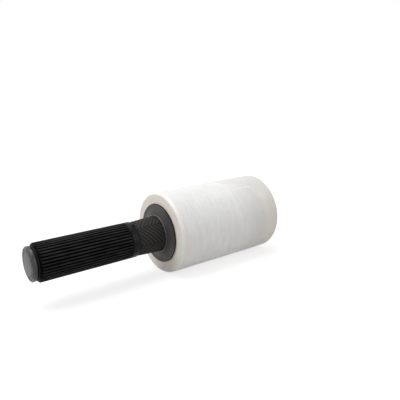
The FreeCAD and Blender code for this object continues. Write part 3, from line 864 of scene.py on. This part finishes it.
def wall_radius(along):
    return NECK_WALL_RADIUS + NECK_FLARE * min((along - NECK_LEFT) / (LIP_FRONT - NECK_LEFT), 1)


def wrap_strip(strip, middle):
    """Bends a flat strip round the neck's wall, about an angle in degrees from the top."""
    for vert in strip.verts:
        angle = middle - math.degrees(vert.co.y / NECK_WALL_RADIUS)
        point = around(angle) * (wall_radius(vert.co.x) + vert.co.z)
        vert.co.y, vert.co.z = point.y, point.z


def make_neck(material):
    """The fixed neck: a smooth cup with strips of slanted ribs, each strip against the next."""
    inner = NECK_WALL_RADIUS - NECK_WALL
    floor = NECK_LEFT + NECK_FLOOR
    widest = wall_radius(LIP_FRONT)
    outline = [
        (NECK_LEFT, SPINDLE_HOLE),
        (NECK_LEFT, NECK_WALL_RADIUS),
        (LIP_FRONT, widest),
        (NECK_RIGHT, widest),
        (NECK_RIGHT, inner),
        (floor, inner),
        (floor, SPINDLE_HOLE),
    ]
    shape = turned(outline, {1: 0.35 * MM})
    for number in range(NECK_STRIPS):
        strip = rib_strip(-1 if number % 2 else 1)
        wrap_strip(strip, NECK_STRIP_TURN + number * 360 / NECK_STRIPS)
        bmesh.ops.recalc_face_normals(strip, faces=strip.faces)
        carrier = bpy.data.meshes.new("strip")
        strip.to_mesh(carrier)
        strip.free()
        shape.from_mesh(carrier)
        bpy.data.meshes.remove(carrier)
    add_piece("neck", shape, "roll", ["neck_sleeve"], [material], 40)


# Grip

def slot_cutter():
    """A block that stands a little past the collar's edge and top, where the slot is cut."""
    past = SLOT_CUTTER_PAST
    shape = bmesh.new()
    bmesh.ops.create_cube(shape, size=1)
    bmesh.ops.scale(shape, vec=(SLOT_LENGTH + past, SLOT_WIDTH, SLOT_DEPTH + past), verts=shape.verts)
    bmesh.ops.translate(shape, verts=shape.verts,
                        vec=(GRIP_RIGHT + (past - SLOT_LENGTH) / 2, 0, GRIP_RADIUS + (past - SLOT_DEPTH) / 2))
    turn = Matrix.Rotation(math.radians(SLOT_ANGLE), 3, "X")
    bmesh.ops.rotate(shape, cent=(0, 0, 0), matrix=turn, verts=shape.verts)
    bmesh.ops.translate(shape, verts=shape.verts, vec=(0, 0, AXIS_HEIGHT))
    return new_object("slot_cutter", shape)


def cut_slot(piece):
    """Cuts the slot into the piece's mesh, and leaves no modifier or cutter behind."""
    cutter = slot_cutter()
    cut = piece.modifiers.new("slot", "BOOLEAN")
    cut.object = cutter
    cut.solver = "EXACT"
    bpy.context.view_layer.update()
    finished = bpy.data.meshes.new_from_object(piece.evaluated_get(bpy.context.evaluated_depsgraph_get()))
    piece.modifiers.clear()
    piece.data = finished
    smooth(finished, 35)
    bpy.data.objects.remove(cutter)


def make_grip_core(material):
    """The grip's hard tube with its smooth collar, and a slot cut in the collar's right edge."""
    groove_floor = GRIP_RADIUS - COLLAR_GROOVE_DEPTH
    collar_left = GRIP_RIGHT - COLLAR_WIDTH
    relief = GRIP_BORE + GRIP_RELIEF
    outline = [
        (GRIP_LEFT, GRIP_BORE),
        (GRIP_LEFT, GRIP_CORE_RADIUS),
        (SLEEVE_RIGHT, GRIP_CORE_RADIUS),
        (SLEEVE_RIGHT, groove_floor),
        (collar_left, groove_floor),
        (collar_left, GRIP_RADIUS),
        (GRIP_RIGHT, GRIP_RADIUS),
        (GRIP_RIGHT, GRIP_BORE),
        (GRIP_RIGHT - GRIP_LAND, GRIP_BORE),
        (GRIP_RIGHT - GRIP_LAND - GRIP_RELIEF, relief),
        (GRIP_LEFT + GRIP_LAND + GRIP_RELIEF, relief),
        (GRIP_LEFT + GRIP_LAND, GRIP_BORE),
    ]
    shape = turned(outline, {5: 0.45 * MM, 6: 0.6 * MM})
    piece = add_piece("grip_collar_and_tube", shape, "grip", ["grip_core"], [material])
    cut_slot(piece)


def rib_outline():
    """The sleeve's section as angles and radii: round ribs with flat valleys between them."""
    centre = GRIP_RADIUS - RIB_RADIUS
    step = 360 / RIB_COUNT
    points = []
    for number in range(RIB_COUNT):
        middle = number * step
        for lean in range(-RIB_ARC, RIB_ARC + 1, RIB_ARC_STEP):
            across = RIB_RADIUS * math.sin(math.radians(lean))
            up = centre + RIB_RADIUS * math.cos(math.radians(lean))
            angle = middle + math.degrees(math.atan2(across, up))
            points.append((angle, max(math.hypot(across, up), RIB_VALLEY)))
        points.append((middle + step / 2, RIB_VALLEY))
    return points


def make_grip_sleeve(material):
    """The ribbed sleeve: its section is drawn once and extruded through the stations along it."""
    bore = GRIP_CORE_RADIUS + PRESS_FIT
    lowest = GRIP_RADIUS - RIB_END_BEVEL
    stations = []
    for share in RIB_END_STATIONS:
        limit = lowest + RIB_END_BEVEL * math.sin(share * math.pi / 2)
        stations.append((GRIP_LEFT + RIB_END_BEVEL * share, limit))
    stations += [(GRIP_LEFT + SLEEVE_RIGHT - along, limit) for along, limit in reversed(stations)]
    stations += [(SLEEVE_RIGHT, bore), (GRIP_LEFT, bore)]
    section = rib_outline()
    shape = bmesh.new()
    first_along, first_limit = stations[0]
    loop = []
    for angle, radius in section:
        point = around(angle) * min(radius, first_limit)
        loop.append(shape.verts.new((first_along, point.y, point.z)))
    edges = [shape.edges.new(pair) for pair in zip(loop, loop[1:] + loop[:1])]
    for along, limit in stations[1:] + stations[:1]:
        made = bmesh.ops.extrude_edge_only(shape, edges=edges)["geom"]
        edges = [item for item in made if isinstance(item, bmesh.types.BMEdge)]
        for vert in (item for item in made if isinstance(item, bmesh.types.BMVert)):
            angle = angle_of(vert.co)
            nearest = min(section, key=lambda spot: abs((spot[0] - angle + 180) % 360 - 180))
            point = around(nearest[0]) * min(nearest[1], limit)
            vert.co = (along, point.y, point.z)
    bmesh.ops.remove_doubles(shape, verts=shape.verts, dist=MERGE)
    bmesh.ops.recalc_face_normals(shape, faces=shape.faces)
    add_piece("grip_sleeve_ribbed", shape, "grip", ["grip_sleeve"], [material], 50)


# Washer, cap and spindle

def make_washer(material):
    outline = [
        (WASHER_LEFT, SPINDLE_HOLE),
        (WASHER_LEFT, WASHER_RADIUS),
        (WASHER_RIGHT, WASHER_RADIUS),
        (WASHER_RIGHT, SPINDLE_HOLE),
    ]
    shape = turned(outline, {1: 0.5 * MM, 2: 0.5 * MM})
    add_piece("washer_ring", shape, "roll", ["thrust_washer"], [material])


def make_cap(materials):
    """The cap: a grooved grey face, a bevelled edge, a skirt, and a hollow plug inside the spindle."""
    skirt_front = CAP_FACE + CAP_BEVEL
    skirt_back = skirt_front + CAP_SKIRT
    groove_floor = CAP_FACE + CAP_GROOVE
    groove_radius = CAP_DISC_RADIUS + CAP_GROOVE
    ring_face = CAP_FACE + CAP_GROOVE / 4
    outer_floor = CAP_FACE + CAP_OUTER_DEPTH
    outer_radius = CAP_FACE_RADIUS + CAP_OUTER_GROOVE
    outline = [
        (CAP_FACE, 0),
        (CAP_FACE, CAP_DISC_RADIUS),
        (groove_floor, CAP_DISC_RADIUS),
        (groove_floor, groove_radius),
        (ring_face, groove_radius),
        (ring_face, CAP_FACE_RADIUS),
        (outer_floor, CAP_FACE_RADIUS),
        (outer_floor, outer_radius),
        (CAP_FACE + CAP_BEVEL / 3, outer_radius),
        (skirt_front, CAP_RADIUS),
        (skirt_back, CAP_RADIUS),
        (skirt_back, CAP_RECESS_RADIUS),
        (WASHER_LEFT, CAP_RECESS_RADIUS),
        (WASHER_LEFT, CAP_PLUG_RADIUS),
        (CAP_PLUG_END, CAP_PLUG_RADIUS),
        (CAP_PLUG_END, CAP_PLUG_BORE),
        (WASHER_LEFT, CAP_PLUG_BORE),
        (WASHER_LEFT, 0),
    ]
    rounds = {1: 0.12 * MM, 5: 0.2 * MM, 8: 0.2 * MM, 9: 0.45 * MM, 10: 0.35 * MM, 14: 0.5 * MM}
    shape = turned(outline, rounds, closed=False)
    for face in shape.faces:
        middle = face.calc_center_median()
        radius = middle.yz.length
        if middle.x < CAP_FACE + CAP_GROOVE / 8 and radius < CAP_DISC_RADIUS:
            face.material_index = 1
        elif middle.x < CAP_FACE + CAP_GROOVE / 2 and groove_radius < radius < CAP_FACE_RADIUS:
            face.material_index = 2
    add_piece("cap", shape, "roll", ["end_cap"], materials)


def dress_spindle(material):
    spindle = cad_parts["spindle"]
    spindle.data.materials.clear()
    spindle.data.materials.append(material)


# Studio

def make_floor():
    """A pale floor that keeps the roll's shadow, shown white to the camera away from the roll."""
    material = bpy.data.materials.new("studio_floor")
    material.use_nodes = True
    tree = material.node_tree
    tree.nodes.clear()
    seen = seen_directly(tree)
    matt = add_node(tree, "ShaderNodeBsdfDiffuse", Color=FLOOR_BOUNCE).outputs[0]
    shaded = add_node(tree, "ShaderNodeBsdfDiffuse", Color=FLOOR_SEEN).outputs[0]
    spot = add_node(tree, "ShaderNodeTexCoord").outputs["Object"]
    distance = add_node(tree, "ShaderNodeVectorMath", {"operation": "LENGTH"}, _0=spot).outputs["Value"]
    glow = rescale(tree, distance, 0.25, 0.55, 0.72, 1.0)
    lit = add_node(tree, "ShaderNodeEmission", Color=WHITE, Strength=glow).outputs[0]
    pale = add_node(tree, "ShaderNodeAddShader", _0=shaded, _1=lit).outputs[0]
    mixed = add_node(tree, "ShaderNodeMixShader", _0=seen, _1=matt, _2=pale).outputs[0]
    add_node(tree, "ShaderNodeOutputMaterial", Surface=mixed)
    shape = bmesh.new()
    bmesh.ops.create_grid(shape, x_segments=1, y_segments=1, size=FLOOR_SIZE)
    floor = new_object("floor", shape)
    floor.data.materials.append(material)


def make_world():
    """White where it is seen or mirrored, and a softer light everywhere else."""
    world = bpy.data.worlds.new("studio")
    bpy.context.scene.world = world
    world.use_nodes = True
    tree = world.node_tree
    tree.nodes.clear()
    seen = seen_directly(tree)
    soft = add_node(tree, "ShaderNodeBackground", Color=WHITE, Strength=WORLD_LIGHT).outputs[0]
    white = add_node(tree, "ShaderNodeBackground", Color=WHITE, Strength=1.0).outputs[0]
    mixed = add_node(tree, "ShaderNodeMixShader", _0=seen, _1=soft, _2=white).outputs[0]
    add_node(tree, "ShaderNodeOutputWorld", Surface=mixed)


def add_lamp(name, spot, size, power):
    """A square soft light aimed at the middle of the roll."""
    light = bpy.data.lights.new(name, "AREA")
    light.shape = "SQUARE"
    light.size = size
    light.energy = power
    lamp = bpy.data.objects.new(name, light)
    lamp.location = spot
    aim = Vector((0, 0, AXIS_HEIGHT)) - Vector(spot)
    lamp.rotation_euler = aim.to_track_quat("-Z", "Y").to_euler()
    bpy.context.scene.collection.objects.link(lamp)


def make_camera():
    """The photograph's camera, with the picture turned a little by its lean."""
    heading = math.radians(CAMERA_HEADING)
    tilt = math.radians(CAMERA_TILT)
    lean = math.radians(CAMERA_LEAN)
    forward = Vector((
        math.sin(heading) * math.cos(tilt),
        math.cos(heading) * math.cos(tilt),
        -math.sin(tilt),
    ))
    level = Vector((math.cos(heading), -math.sin(heading), 0))
    down = forward.cross(level)
    across = level * math.cos(lean) + down * math.sin(lean)
    up = level * math.sin(lean) - down * math.cos(lean)
    lens = bpy.data.cameras.new("camera")
    lens.sensor_width = CAMERA_SENSOR
    lens.lens = CAMERA_LENS
    lens.clip_start = 0.01
    camera = bpy.data.objects.new("camera", lens)
    turned_axes = Matrix((across, up, -forward)).transposed()
    camera.matrix_world = Matrix.Translation(CAMERA_SPOT) @ turned_axes.to_4x4()
    bpy.context.scene.collection.objects.link(camera)
    bpy.context.scene.camera = camera


def main():
    sheet = last_turn_finish()
    plastic = {name: moulded_finish(name, *looks) for name, looks in PLASTICS.items()}

    make_film_winding([under_turn_finish(), film_end_finish(), sheet])
    make_film_last_turn(sheet)
    make_cardboard_core(cardboard_finish())
    make_hub([hub_finish(), plastic["rim_shadow_brown"], plastic["hub_lip_highlight"]])
    make_neck(neck_finish())
    make_grip_core(plastic["hard_black_plastic"])
    make_grip_sleeve(rubber_finish())
    make_washer(plastic["black_plastic"])
    make_cap([plastic["cap_skirt"], plastic["cap_face"], plastic["cap_ring"]])
    dress_spindle(plastic["black_plastic"])

    make_floor()
    make_world()
    for name, (spot, size, power) in LAMPS.items():
        add_lamp(name, spot, size, power)
    make_camera()
    bpy.context.scene.view_settings.view_transform = "Standard"


main()
